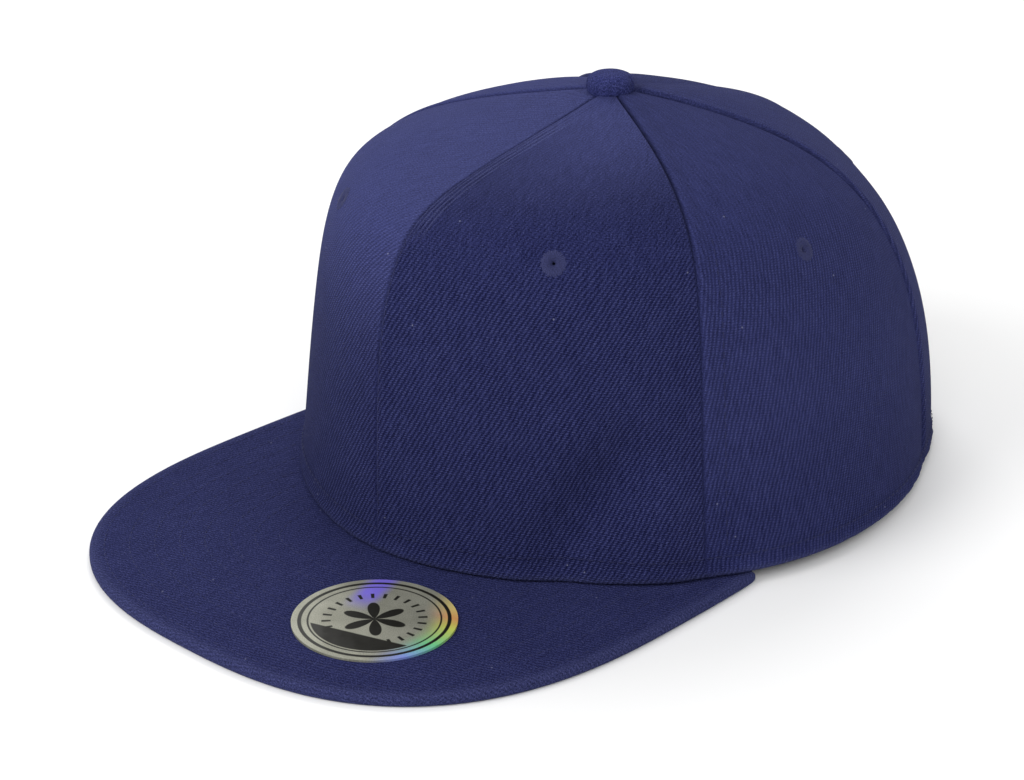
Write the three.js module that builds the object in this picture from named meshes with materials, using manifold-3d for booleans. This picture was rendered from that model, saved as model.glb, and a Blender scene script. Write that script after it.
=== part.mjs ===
// A snapback cap at rest on a table, in millimetres.
// Z is up, the brim points towards -Y, and the wearer's left is +X.
import * as THREE from 'three';
import { mergeVertices } from 'three/addons/utils/BufferGeometryUtils.js';
import Module from 'manifold-3d';

// Crown
const CROWN_WIDTH = 179; // side to side at the foot
const CROWN_FRONT = 94.5; // from under the button to the front of its oval
const CROWN_BACK = 111; // and to the back of it
const CROWN_HEIGHT = 113; // table to the cloth under the button
const WALL = 1.8; // cloth with its backing
const SIDE_SEAM_AT = 60.5; // degrees round from the front seam
const BACK_SEAM_AT = 120.5;
const REAR_SEAM_AT = 180;
const DENT_DEPTH = 2.4; // the deepest of the soft dents

// Opening at the back
const ARCH_WIDTH = 88;
const ARCH_HEIGHT = 47; // table to the top of the arch
const ARCH_ROUND = 33; // height of its rounded top

// Brim
const BRIM_LENGTH = 68; // crown to tip
const BRIM_WIDTH = 167.5;
const BRIM_THICKNESS = 3.2;
const BRIM_WIDEST = 23.5; // its widest place, behind the front of the crown
const BRIM_CORNER_AT = 69.5; // degrees round from the front seam, where it leaves the crown
const BRIM_TUCK = 4; // how far it reaches under the crown
const BRIM_ROUNDING = 0.8; // at its rim
const BRIM_FRONT_POWER = 2.6; // 2 is an ellipse, more is squarer
const BRIM_SIDE_POWER = 1.9;

// Button
const BUTTON_RADIUS = 6.6;
const BUTTON_RISE = 4.4; // above the cloth at the top
const BUTTON_RIM = 1.3; // height of its side before it rounds over
const BUTTON_POST = 2;
const WASHER_RADIUS = 4.5;
const WASHER_THICKNESS = 1;
const WASHER_CLEARANCE = 0.4;

// Eyelets
const EYELET_RADIUS = 4.2;
const EYELET_BARREL = 1.9;
const EYELET_BORE = 1.1;
const EYELET_RISE = 0.6;
const EYELET_CHAMFER = 0.35;

// Inner band and closing strap
const BAND_HEIGHT = 32;
const BAND_THICKNESS = 1.6;
const STRAP_HEIGHT = 18;
const STRAP_THICKNESS = 1.5;
const STRAP_TUCK = 9; // past the side of the arch
const STRAP_OVERLAP = 46; // width of the doubled middle

// Sticker on the brim
const STICKER_DIAMETER = 43;
const STICKER_THICKNESS = 0.3;
const STICKER_SIDEWAYS = 28; // from the middle of the brim to the wearer's left
const STICKER_FORWARD = 28; // from the front of the crown

const GAP = 0.3; // between neighbouring pieces

// Fineness of the mesh
const ACROSS = 12;
const UP = 18;
const ROUND_STEPS = 36;
const SMALL_STEPS = 16;
const SEARCH_STEPS = 40;

// Outline of the crown at each seam and at the middle of each panel.
// foot: distance from the axis, as a share of an oval of the crown's width, front and back
// lean: degrees that the wall leans in at its foot
// rise: length of the upright stretch's handle, as a share of the crown's height
// slope: degrees that the top falls away from the button
// reach: length of the top's handle, as a share of the distance at the foot
const MERIDIANS = [
  { place: 'front seam', foot: 0.987, lean: 0.6, rise: 0.965, slope: 13.8, reach: 0.99 },
  { place: 'front panel', foot: 0.963, lean: 4.3, rise: 0.97, slope: 9.6, reach: 1 },
  { place: 'side seam', foot: 0.969, lean: 9.3, rise: 0.825, slope: 7.2, reach: 1 },
  { place: 'side panel', foot: 0.998, lean: 8.2, rise: 0.705, slope: 6.2, reach: 0.85 },
  { place: 'back seam', foot: 0.97, lean: 1.5, rise: 0.695, slope: 8.8, reach: 0.745 },
  { place: 'back panel', foot: 0.996, lean: 0.9, rise: 0.66, slope: 5.4, reach: 0.62 },
  { place: 'rear seam', foot: 1, lean: -2.7, rise: 0.735, slope: 11, reach: 0.74 },
];
const SEAMS = [0, SIDE_SEAM_AT, BACK_SEAM_AT, REAR_SEAM_AT];

// Soft dents of the cloth: degrees round, share of the way up, and the spread of each
const DENTS = [
  { place: 'front left panel, by the side seam', at: 47, up: 0.125, across: 5, tall: 0.05, share: 0.6 },
  { place: 'front left panel, low', at: 41, up: 0.08, across: 5, tall: 0.05, share: 0.8 },
  { place: 'front left panel, at its foot', at: 35, up: 0.04, across: 5, tall: 0.05, share: 0.5 },
];

// The panels of each side, and where their eyelets are, as shares of the way back across them and up them
const PANELS = [
  { name: 'front', first: 0, last: SIDE_SEAM_AT, left: 0.53, right: 0.45, up: 0.45 },
  { name: 'side', first: SIDE_SEAM_AT, last: BACK_SEAM_AT, left: 0.485, right: 0.485, up: 0.485 },
  { name: 'back', first: BACK_SEAM_AT, last: REAR_SEAM_AT, left: 0.55, right: 0.55, up: 0.5 },
];

const radians = THREE.MathUtils.degToRad;
const degrees = THREE.MathUtils.radToDeg;
const wasm = await Module();
wasm.setup();

// Surface of the crown

// Degrees from the front seam, the short way round
const fromFront = (at) => Math.abs(THREE.MathUtils.euclideanModulo(at + 180, 360) - 180);

function section(at) {
  const side = fromFront(at);
  const panel = side <= SIDE_SEAM_AT ? 0 : side <= BACK_SEAM_AT ? 1 : 2;
  const u = (side - SEAMS[panel]) / (SEAMS[panel + 1] - SEAMS[panel]);
  const [first, middle, last] = MERIDIANS.slice(2 * panel, 2 * panel + 3);
  const blend = (name) =>
    first[name] * (1 - u) * (1 - 2 * u) + middle[name] * 4 * u * (1 - u) + last[name] * u * (2 * u - 1);
  const oval = new THREE.Vector2(
    (CROWN_WIDTH / 2) * Math.sin(radians(at)),
    -(side < 90 ? CROWN_FRONT : CROWN_BACK) * Math.cos(radians(at)),
  );
  return {
    outward: oval.clone().normalize(),
    foot: oval.length() * blend('foot'),
    lean: radians(blend('lean')),
    rise: CROWN_HEIGHT * blend('rise'),
    slope: radians(blend('slope')),
    reach: blend('reach'),
  };
}

// The foot of the crown lies on the brim, and comes down to the table behind it
function footHeight(at) {
  const onBrim = BRIM_THICKNESS + GAP;
  const behind = Math.max(0, (fromFront(at) - BRIM_CORNER_AT) / (REAR_SEAM_AT - BRIM_CORNER_AT));
  return (onBrim * (1 + Math.cos(Math.PI * behind))) / 2;
}

function dentDepth(at, t) {
  return DENTS.reduce((sum, dent) => {
    const across = (at - dent.at) / dent.across;
    const up = (t - dent.up) / dent.tall;
    return sum + DENT_DEPTH * dent.share * Math.exp(-across * across - up * up);
  }, 0);
}

// A place on the outside of the crown: t runs from 0 at the foot to 1 under the button
function profile(at, t) {
  const { outward, foot, lean, rise, slope, reach } = section(at);
  const low = footHeight(at);
  const curve = new THREE.CubicBezierCurve(
    new THREE.Vector2(foot, low),
    new THREE.Vector2(foot - rise * Math.sin(lean), low + rise * Math.cos(lean)),
    new THREE.Vector2(reach * foot * Math.cos(slope), CROWN_HEIGHT - reach * foot * Math.sin(slope)),
    new THREE.Vector2(0, CROWN_HEIGHT),
  );
  const along = curve.getTangent(t);
  const normal = new THREE.Vector2(along.y, -along.x);
  const point = curve.getPoint(t).addScaledVector(normal, -dentDepth(at, t));
  return { outward, point, normal };
}

function place(outward, radius, height) {
  return new THREE.Vector3(outward.x * radius, outward.y * radius, height);
}

function crownPoint(at, t) {
  const { outward, point } = profile(at, t);
  return place(outward, point.x, point.y);
}

// Halve the range until test(t) changes
function search(low, high, test) {
  for (let step = 0; step < SEARCH_STEPS; step += 1) {
    const middle = (low + high) / 2;
    if (test(middle)) low = middle;
    else high = middle;
  }
  return (low + high) / 2;
}

const radiusAtHeight = (at, height) => profile(at, search(0, 1, (t) => profile(at, t).point.y < height)).point.x;
const shareAtRadius = (at, radius) => search(0.5, 1, (t) => profile(at, t).point.x > radius);
const heightAtRadius = (at, radius) => profile(at, shareAtRadius(at, radius)).point.y;

// Where the foot of the back lies this far from the middle
const rearAngle = (sideways) =>
  search(BACK_SEAM_AT, REAR_SEAM_AT, (at) => section(at).foot * section(at).outward.x > sideways);

// Solids

function geometryFrom(vertices, faces) {
  const geometry = new THREE.BufferGeometry();
  geometry.setAttribute('position', new THREE.Float32BufferAttribute(vertices.flatMap((v) => v.toArray()), 3));
  geometry.setIndex(faces.flat());
  return geometry;
}

// A closed wall between two grids of points, which run round to the left and up
function shell(outer, inner) {
  const columns = outer.length;
  const rows = outer[0].length;
  const vertices = [...outer.flat(), ...inner.flat()];
  const out = (i, j) => i * rows + j;
  const into = (i, j) => (columns + i) * rows + j;
  const faces = [];
  const quad = (a, b, c, d) => faces.push([a, b, c], [a, c, d]);
  for (let i = 0; i < columns - 1; i += 1) {
    for (let j = 0; j < rows - 1; j += 1) {
      quad(out(i, j), out(i + 1, j), out(i + 1, j + 1), out(i, j + 1));
      quad(into(i, j), into(i, j + 1), into(i + 1, j + 1), into(i + 1, j));
    }
    quad(out(i + 1, 0), out(i, 0), into(i, 0), into(i + 1, 0));
    quad(out(i, rows - 1), out(i + 1, rows - 1), into(i + 1, rows - 1), into(i, rows - 1));
  }
  for (let j = 0; j < rows - 1; j += 1) {
    quad(out(0, j), out(0, j + 1), into(0, j + 1), into(0, j));
    quad(out(columns - 1, j + 1), out(columns - 1, j), into(columns - 1, j), into(columns - 1, j + 1));
  }
  return geometryFrom(vertices, faces);
}

// A turned solid whose profile, from the axis at the top to the axis below, may change on the way round
function turned(profileAt) {
  const columns = Array.from({ length: ROUND_STEPS }, (_, i) => profileAt(-REAR_SEAM_AT + (360 * i) / ROUND_STEPS));
  const count = columns[0].length - 2;
  const vertices = [columns[0][0], columns[0].at(-1), ...columns.flatMap((column) => column.slice(1, -1))];
  const at = (i, j) => 2 + (i % ROUND_STEPS) * count + j;
  const faces = [];
  for (let i = 0; i < ROUND_STEPS; i += 1) {
    faces.push([0, at(i, 0), at(i + 1, 0)]);
    faces.push([1, at(i + 1, count - 1), at(i, count - 1)]);
    for (let j = 0; j < count - 1; j += 1) {
      faces.push([at(i, j), at(i, j + 1), at(i + 1, j + 1)], [at(i, j), at(i + 1, j + 1), at(i + 1, j)]);
    }
  }
  return geometryFrom(vertices, faces);
}

function closed(geometry) {
  geometry.deleteAttribute('normal');
  geometry.deleteAttribute('uv');
  return mergeVertices(geometry);
}

function toManifold(geometry) {
  const vertProperties = Float32Array.from(geometry.attributes.position.array);
  return new wasm.Manifold(new wasm.Mesh({ numProp: 3, vertProperties, triVerts: Uint32Array.from(geometry.index.array) }));
}

function cutAway(geometry, cutters) {
  const cut = cutters.reduce((solid, cutter) => solid.subtract(toManifold(cutter)), toManifold(geometry));
  const mesh = cut.getMesh();
  const result = new THREE.BufferGeometry();
  result.setAttribute('position', new THREE.Float32BufferAttribute(mesh.vertProperties, mesh.numProp));
  result.setIndex(Array.from(mesh.triVerts));
  return result;
}

// Crown panels

function panel(from, to) {
  const outer = [];
  const inner = [];
  for (let i = 0; i <= ACROSS; i += 1) {
    const spread = from + ((to - from) * i) / ACROSS;
    const tip = shareAtRadius(spread, BUTTON_POST + GAP);
    const outerColumn = [];
    const innerColumn = [];
    for (let j = 0; j <= UP; j += 1) {
      const t = (tip * j) / UP;
      const seamGap = degrees(Math.asin(GAP / 2 / profile(spread, t).point.x));
      const { outward, point, normal } = profile(spread + seamGap * (1 - (2 * i) / ACROSS), t);
      if (j === 0) normal.set(1, 0);
      if (j === UP) normal.set(0, 1);
      const within = point.clone().addScaledVector(normal, -WALL);
      outerColumn.push(place(outward, point.x, point.y));
      innerColumn.push(place(outward, within.x, within.y));
    }
    outer.push(outerColumn);
    inner.push(innerColumn);
  }
  return shell(outer, inner);
}

function archCutter() {
  const half = ARCH_WIDTH / 2;
  const shape = new THREE.Shape();
  shape.moveTo(-half, -BRIM_THICKNESS);
  shape.lineTo(half, -BRIM_THICKNESS);
  shape.lineTo(half, ARCH_HEIGHT - ARCH_ROUND);
  shape.absellipse(0, ARCH_HEIGHT - ARCH_ROUND, half, ARCH_ROUND, 0, Math.PI);
  const geometry = new THREE.ExtrudeGeometry(shape, {
    depth: 2 * CROWN_BACK, bevelEnabled: false, curveSegments: ROUND_STEPS / 2,
  });
  geometry.rotateX(Math.PI / 2);
  geometry.translate(0, 2 * CROWN_BACK, 0);
  return closed(geometry);
}

// Eyelets

// Turns a solid whose axis is +Y to stand on the crown at this place
function standOn(geometry, at, t) {
  const step = 0.01;
  const round = crownPoint(at + step, t).sub(crownPoint(at - step, t));
  const up = crownPoint(at, t + step).sub(crownPoint(at, t - step));
  const outward = round.cross(up).normalize();
  const turn = new THREE.Quaternion().setFromUnitVectors(new THREE.Vector3(0, 1, 0), outward);
  geometry.applyQuaternion(turn);
  const { x, y, z } = crownPoint(at, t);
  return geometry.translate(x, y, z);
}

function eyelet(at, t) {
  const top = GAP + EYELET_RISE;
  const profilePoints = [
    new THREE.Vector2(EYELET_BORE, -WALL),
    new THREE.Vector2(EYELET_BARREL, -WALL),
    new THREE.Vector2(EYELET_BARREL, GAP),
    new THREE.Vector2(EYELET_RADIUS, GAP),
    new THREE.Vector2(EYELET_RADIUS - EYELET_CHAMFER, top),
    new THREE.Vector2(EYELET_BORE + EYELET_CHAMFER, top),
    new THREE.Vector2(EYELET_BORE, -WALL),
  ];
  return standOn(closed(new THREE.LatheGeometry(profilePoints, SMALL_STEPS)), at, t);
}

function eyeletHole(at, t) {
  const radius = EYELET_BARREL + GAP;
  return standOn(closed(new THREE.CylinderGeometry(radius, radius, 6 * WALL, SMALL_STEPS)), at, t);
}

// Button at the top: a dome over the cloth, a post through it and a washer under it

function button() {
  const domeSteps = 6;
  return turned((at) => {
    const { outward } = section(at);
    const point = (radius, height) => place(outward, radius, height);
    const over = (radius) => point(radius, heightAtRadius(at, radius) + GAP);
    const under = (radius) => point(radius, heightAtRadius(at, radius) - WALL - WASHER_CLEARANCE);
    const rim = CROWN_HEIGHT + GAP + BUTTON_RIM - BUTTON_RADIUS * Math.tan(radians(MERIDIANS[0].slope));
    const dome = Array.from({ length: domeSteps + 1 }, (_, k) => {
      const turn = (k / domeSteps) * (Math.PI / 2);
      return point(BUTTON_RADIUS * Math.sin(turn), rim + (CROWN_HEIGHT + BUTTON_RISE - rim) * Math.cos(turn));
    });
    const bottom = CROWN_HEIGHT - WALL - WASHER_CLEARANCE - WASHER_RADIUS / 2 - WASHER_THICKNESS;
    return [
      ...dome,
      over(BUTTON_RADIUS),
      over((BUTTON_RADIUS + BUTTON_POST) / 2),
      over(BUTTON_POST),
      under(BUTTON_POST),
      under(WASHER_RADIUS),
      point(WASHER_RADIUS, bottom),
      point(0, bottom),
    ];
  });
}

// Brim: a flat board, rounded in front, tucked under the foot of the crown

function brim() {
  const steps = 26;
  const sideSteps = 8;
  const end = section(BRIM_CORNER_AT);
  const corner = end.outward.clone().multiplyScalar(end.foot);
  const front = -section(0).foot;
  const widest = front + BRIM_WIDEST;
  const half = BRIM_WIDTH / 2;
  const left = [];
  for (let k = 0; k <= steps; k += 1) {
    const turn = (k / steps) * (Math.PI / 2);
    left.push(new THREE.Vector2(
      half * Math.sin(turn) ** (2 / BRIM_FRONT_POWER),
      widest - (widest - front + BRIM_LENGTH) * Math.cos(turn) ** (2 / BRIM_FRONT_POWER),
    ));
  }
  for (let k = 1; k <= sideSteps; k += 1) {
    const back = k / sideSteps;
    left.push(new THREE.Vector2(
      corner.x + (half - corner.x) * (1 - back ** BRIM_SIDE_POWER) ** (1 / BRIM_SIDE_POWER),
      widest + (corner.y - widest) * back,
    ));
  }
  const right = left.slice(1).map((p) => new THREE.Vector2(-p.x, p.y)).reverse();
  const tucked = [];
  for (let k = 0; k <= 2 * ACROSS; k += 1) {
    const { outward, foot } = section(BRIM_CORNER_AT * (1 - k / ACROSS));
    tucked.push(outward.clone().multiplyScalar(foot - BRIM_TUCK));
  }
  const geometry = new THREE.ExtrudeGeometry(new THREE.Shape([...right, ...left, ...tucked]), {
    depth: BRIM_THICKNESS - 2 * BRIM_ROUNDING,
    bevelThickness: BRIM_ROUNDING,
    bevelSize: BRIM_ROUNDING,
    bevelOffset: -BRIM_ROUNDING,
    bevelSegments: 2,
  });
  return closed(geometry.translate(0, 0, BRIM_ROUNDING));
}

// Inner band round the foot of the crown, open at the back

function sweatband() {
  const end = rearAngle(ARCH_WIDTH / 2 + STRAP_TUCK) - degrees(Math.asin((2 * GAP) / CROWN_BACK));
  const rows = 4;
  const grid = (depth) => {
    const columns = [];
    for (let i = 0; i <= 4 * ACROSS; i += 1) {
      const at = end * (i / (2 * ACROSS) - 1);
      const { outward } = section(at);
      columns.push(Array.from({ length: rows + 1 }, (_, j) => {
        const height = footHeight(at) + (BAND_HEIGHT * j) / rows;
        return place(outward, radiusAtHeight(at, height) - depth, height);
      }));
    }
    return columns;
  };
  return shell(grid(WALL + GAP), grid(WALL + GAP + BAND_THICKNESS));
}

// Closing strap across the opening, plain, with a doubled middle

function strap() {
  const end = rearAngle(ARCH_WIDTH / 2 + STRAP_TUCK);
  const lap = rearAngle(STRAP_OVERLAP / 2);
  const edge = (from, to, depth) => {
    const points = [];
    for (let k = 0; k <= ACROSS; k += 1) {
      const at = from + ((to - from) * k) / ACROSS;
      const nearest = Math.min(radiusAtHeight(at, 0), radiusAtHeight(at, STRAP_HEIGHT));
      points.push(section(at).outward.clone().multiplyScalar(nearest - depth));
    }
    return points;
  };
  const outside = WALL + GAP;
  const geometry = new THREE.ExtrudeGeometry(new THREE.Shape([
    ...edge(end, lap, outside),
    ...edge(lap, 360 - lap, outside - STRAP_THICKNESS),
    ...edge(360 - lap, 360 - end, outside),
    ...edge(360 - end, end, outside + STRAP_THICKNESS),
  ]), { depth: STRAP_HEIGHT, bevelEnabled: false });
  return closed(geometry);
}

// Round foil sticker on top of the brim

function sticker() {
  const radius = STICKER_DIAMETER / 2;
  const geometry = new THREE.CylinderGeometry(radius, radius, STICKER_THICKNESS, ROUND_STEPS);
  geometry.rotateX(Math.PI / 2);
  const height = BRIM_THICKNESS + GAP + STICKER_THICKNESS / 2;
  return closed(geometry.translate(STICKER_SIDEWAYS, -section(0).foot - STICKER_FORWARD, height));
}

// The whole cap

const MATERIALS = {
  cloth: new THREE.MeshStandardMaterial({ color: 0x2e3064, roughness: 0.9, metalness: 0 }),
  thread: new THREE.MeshStandardMaterial({ color: 0x282a5a, roughness: 0.75, metalness: 0 }),
  band: new THREE.MeshStandardMaterial({ color: 0x26284f, roughness: 0.9, metalness: 0 }),
  plastic: new THREE.MeshStandardMaterial({ color: 0x1c1e3c, roughness: 0.4, metalness: 0 }),
  foil: new THREE.MeshStandardMaterial({ color: 0xb4b6b4, roughness: 0.3, metalness: 0.8 }),
};

function build() {
  const cap = new THREE.Group();
  cap.name = 'snapback_cap';
  const add = (name, material, geometry) => {
    geometry.computeVertexNormals();
    const mesh = new THREE.Mesh(geometry, MATERIALS[material]);
    mesh.name = name;
    cap.add(mesh);
  };
  for (const side of [1, -1]) {
    const hand = side > 0 ? 'left' : 'right';
    for (const row of PANELS) {
      const [from, to] = [side * row.first, side * row.last].sort((a, b) => a - b);
      const at = side * (row.first + (row.last - row.first) * row[hand]);
      const cutters = [eyeletHole(at, row.up)];
      if (row.name === 'back') cutters.push(archCutter());
      add(`panel_${row.name}_${hand}`, 'cloth', cutAway(panel(from, to), cutters));
      add(`eyelet_${row.name}_${hand}`, 'thread', eyelet(at, row.up));
    }
  }
  add('top_button', 'cloth', button());
  add('brim', 'cloth', brim());
  add('sweatband', 'band', sweatband());
  add('snap_strap', 'plastic', strap());
  add('visor_sticker', 'foil', sticker());
  return cap;
}

// Puts the middle of the cap's bounding box over the origin
function centred(cap) {
  const middle = new THREE.Box3().setFromObject(cap).getCenter(new THREE.Vector3());
  for (const mesh of cap.children) mesh.geometry.translate(-middle.x, -middle.y, 0);
  return cap;
}

export default centred(build());
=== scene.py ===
"""Looks of the snapback cap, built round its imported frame.

Metres, with Z up, the brim towards -Y and the wearer's left at +X.
"""
import math

import bmesh
import bpy
import numpy as np
from mathutils import Matrix, Vector


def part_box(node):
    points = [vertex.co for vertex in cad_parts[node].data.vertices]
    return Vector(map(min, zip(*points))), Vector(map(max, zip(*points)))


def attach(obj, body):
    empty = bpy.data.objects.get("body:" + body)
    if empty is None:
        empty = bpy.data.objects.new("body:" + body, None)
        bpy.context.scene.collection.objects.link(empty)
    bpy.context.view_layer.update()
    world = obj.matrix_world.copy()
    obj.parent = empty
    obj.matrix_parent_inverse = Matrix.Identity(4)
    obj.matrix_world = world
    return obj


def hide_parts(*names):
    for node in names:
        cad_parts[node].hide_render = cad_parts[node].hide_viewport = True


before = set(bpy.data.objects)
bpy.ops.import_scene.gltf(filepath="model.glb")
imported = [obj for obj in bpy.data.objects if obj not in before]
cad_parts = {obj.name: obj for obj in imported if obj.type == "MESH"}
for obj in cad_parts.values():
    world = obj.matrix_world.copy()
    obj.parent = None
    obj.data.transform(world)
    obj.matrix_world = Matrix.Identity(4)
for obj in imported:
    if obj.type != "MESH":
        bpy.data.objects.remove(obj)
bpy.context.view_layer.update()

MM = 0.001

# Crown, as in the frame
CROWN_WIDTH = 179 * MM
CROWN_FRONT = 94.5 * MM
CROWN_BACK = 111 * MM
CROWN_HEIGHT = 113 * MM
WALL = 1.8 * MM
GAP = 0.3 * MM
DENT_DEPTH = 6 * MM
SEAMS = np.array([0, 60.5, 120.5, 180])
BRIM_CORNER_AT = 69.5
FRONT_ROUNDING = 20  # degrees over which the front crease is rounded off at the foot
SHARP = 0.01  # degrees, where it isn't rounded
BUTTON_LOW, BUTTON_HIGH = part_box("top_button")
AXIS_Y = (BUTTON_LOW.y + BUTTON_HIGH.y) / 2
BRIM_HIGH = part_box("brim")[1]
BRIM_TOP = BRIM_HIGH.z

# Outline of the crown at each seam and at the middle of each panel, from the front seam to the rear one
MERIDIANS = {
    "foot": np.array([0.987, 0.963, 0.969, 0.998, 0.97, 0.996, 1]),
    "lean": np.array([0.6, 4.3, 9.3, 8.2, 1.5, 0.9, -2.7]),
    "rise": np.array([0.965, 0.97, 0.825, 0.705, 0.695, 0.66, 0.735]),
    "slope": np.array([13.8, 9.6, 7.2, 6.2, 8.8, 5.4, 11]),
    "reach": np.array([0.99, 1, 1, 0.85, 0.745, 0.62, 0.74]),
}

# Soft dents: degrees round, share of the way up, spread of each, and share of the deepest
DENTS = (
    (47, 0.125, 5, 0.05, 0.6),
    (41, 0.08, 5, 0.05, 0.8),
    (35, 0.04, 5, 0.05, 0.5),
    (54, 0.04, 6, 0.06, -0.3),
)

# Panels of each side, and how far across and up them their eyelets are
PANELS = (
    {"name": "front", "first": SEAMS[0], "last": SEAMS[1], "left": 0.53, "right": 0.45, "up": 0.45},
    {"name": "side", "first": SEAMS[1], "last": SEAMS[2], "left": 0.485, "right": 0.485, "up": 0.485},
    {"name": "back", "first": SEAMS[2], "last": SEAMS[3], "left": 0.55, "right": 0.55, "up": 0.5},
)

# Opening at the back
ARCH_WIDTH = 88 * MM
ARCH_HEIGHT = 47 * MM
ARCH_ROUND = 33 * MM

# Colours, linear
NAVY = (0.0165, 0.0195, 0.0705)
NAVY_DEEP = (0.0044, 0.0053, 0.0275)
NAVY_PALE = (0.058, 0.064, 0.15)
THREAD_NAVY = (0.0185, 0.0215, 0.083)
EYELET_NAVY = (0.027, 0.031, 0.104)
BRIM_THREAD_NAVY = (0.025, 0.029, 0.1)
LINT = (0.30, 0.31, 0.42)
PLASTIC_NAVY = (0.018, 0.0195, 0.068)
PLASTIC_DEEP = (0.012, 0.013, 0.05)
SILVER = (0.40, 0.40, 0.33)
SILVER_DEEP = (0.16, 0.16, 0.12)
# Colour of a painted reflection on the foil
VIOLET = (0.22, 0.16, 0.85)
PRINT_DARK = (0.01, 0.0095, 0.006)
FLOOR_GREY = (0.84, 0.84, 0.84, 1)

# Twill: distance between its ribs and between the weft threads that cross them, and the weft's lean
RIB_PITCH = 1.18 * MM
WEFT_PITCH = 0.67 * MM
WEFT_LEAN = -7

# Scale of each noise that moves the ribs, and how far it moves them
RIB_WAVERING = ((70.0, 1.2 * MM), (620.0, 0.5 * MM), (1900.0, 0.25 * MM))

# How strongly the weft breaks the ribs into beads, and scales of the cloth's other noises
BEADING = 0.55
YARN_SCALE = 2400.0
FIBRE_SCALE = 3300.0
PATCH_SCALE = 60.0
LINT_SCALE = 210.0
STREAK_SCALES = (900.0, 160.0, 0)


# Surface of the crown


def section(at, eased=SHARP):
    """The outline's numbers at these degrees round, and the oval's radius and way outward there.

    Degrees start at the front seam, whose crease is rounded off over the eased ones.
    """
    side = np.abs((at + 180) % 360 - 180)
    past = side * np.tanh(side / eased)
    panel = np.clip(np.searchsorted(SEAMS, past) - 1, 0, 2)
    u = (past - SEAMS[panel]) / (SEAMS[panel + 1] - SEAMS[panel])
    weights = ((1 - u) * (1 - 2 * u), 4 * u * (1 - u), u * (2 * u - 1))
    blend = {k: sum(w * row[2 * panel + i] for i, w in enumerate(weights)) for k, row in MERIDIANS.items()}
    turn = np.radians(at)
    x = CROWN_WIDTH / 2 * np.sin(turn)
    y = -np.where(side < 90, CROWN_FRONT, CROWN_BACK) * np.cos(turn)
    oval = np.hypot(x, y)
    return blend, oval, x / oval, y / oval


def foot_height(at):
    """The crown's foot lies on the brim, and comes down to the table behind it."""
    side = np.abs((at + 180) % 360 - 180)
    behind = np.clip((side - BRIM_CORNER_AT) / (180 - BRIM_CORNER_AT), 0, 1)
    return (BRIM_TOP + GAP) * (1 + np.cos(np.pi * behind)) / 2


def dent_depth(at, t):
    """How deep the soft dents are at these places."""
    return sum(
        DENT_DEPTH * share * np.exp(-(((at - round_at) / across) ** 2) - ((t - up) / tall) ** 2)
        for round_at, up, across, tall, share in DENTS
    )


def crown(at, t):
    """Places on the outside of the crown and the ways outward there.

    t runs from 0 at the foot to 1 at the top.
    """
    at, t = np.broadcast_arrays(np.asarray(at, float), np.asarray(t, float))
    row, oval, out_x, out_y = section(at, SHARP + FRONT_ROUNDING * (1 - soft_step(t, 0.05, 0.4)))
    foot = oval * row["foot"]
    low = foot_height(at)
    top = np.full_like(foot, CROWN_HEIGHT)
    lean, slope = np.radians(row["lean"]), np.radians(row["slope"])
    rise, reach = CROWN_HEIGHT * row["rise"], row["reach"] * foot
    radii = (foot, foot - rise * np.sin(lean), reach * np.cos(slope), np.zeros_like(foot))
    heights = (low, low + rise * np.cos(lean), top - reach * np.sin(slope), top)
    s = 1 - t

    def curve(p):
        return s**3 * p[0] + 3 * s * s * t * p[1] + 3 * s * t * t * p[2] + t**3 * p[3]

    def tangent(p):
        return s * s * (p[1] - p[0]) + 2 * s * t * (p[2] - p[1]) + t * t * (p[3] - p[2])

    along_r, along_z = tangent(radii), tangent(heights)
    length = np.hypot(along_r, along_z)
    normal_r, normal_z = along_z / length, -along_r / length
    dent = dent_depth(at, t)
    radius, height = curve(radii) - dent * normal_r, curve(heights) - dent * normal_z
    place = np.stack([out_x * radius, AXIS_Y + out_y * radius, height], -1)
    normal = np.stack([out_x * normal_r, out_y * normal_r, normal_z], -1)
    return place, normal


def soft_step(x, low, high):
    """Rises smoothly from 0 to 1 between the two."""
    s = np.clip((x - low) / (high - low), 0, 1)
    return s * s * (3 - 2 * s)


def bell(x, middle, width):
    """A bump of height 1 at the middle."""
    return np.exp(-(((x - middle) / width) ** 2))


# Meshes


def grid_faces(columns, rows, first=0, closed=False):
    """Quads of a grid whose columns run round to the left and whose rows run up, facing out."""
    i = np.arange(columns if closed else columns - 1)[:, None]
    j = np.arange(rows - 1)[None, :]
    following = (i + 1) % columns
    corners = (i * rows + j, following * rows + j, following * rows + j + 1, i * rows + j + 1)
    return first + np.stack(corners, -1).reshape(-1, 4)


def mesh_object(name, vertices, faces, material, attributes=None, sharp_deg=50):
    mesh = bpy.data.meshes.new(name)
    mesh.from_pydata(np.asarray(vertices).tolist(), [], [tuple(int(x) for x in face) for face in faces])
    for key, values in (attributes or {}).items():
        values = np.asarray(values, np.float32)
        kind = ("FLOAT_VECTOR", "vector") if values.ndim == 2 else ("FLOAT", "value")
        mesh.attributes.new(key, kind[0], "POINT").data.foreach_set(kind[1], values.ravel())
    mesh.polygons.foreach_set("use_smooth", np.ones(len(mesh.polygons), bool))
    mesh.set_sharp_from_angle(angle=math.radians(sharp_deg))
    made = bpy.data.objects.new(name, mesh)
    made.data.materials.append(material)
    bpy.context.scene.collection.objects.link(made)
    return made


def place_piece(piece, slot, *nodes):
    """Rides the piece on the cap and shows it in place of these nodes."""
    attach(piece, "root")
    if nodes:
        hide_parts(*nodes)
    return piece


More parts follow.
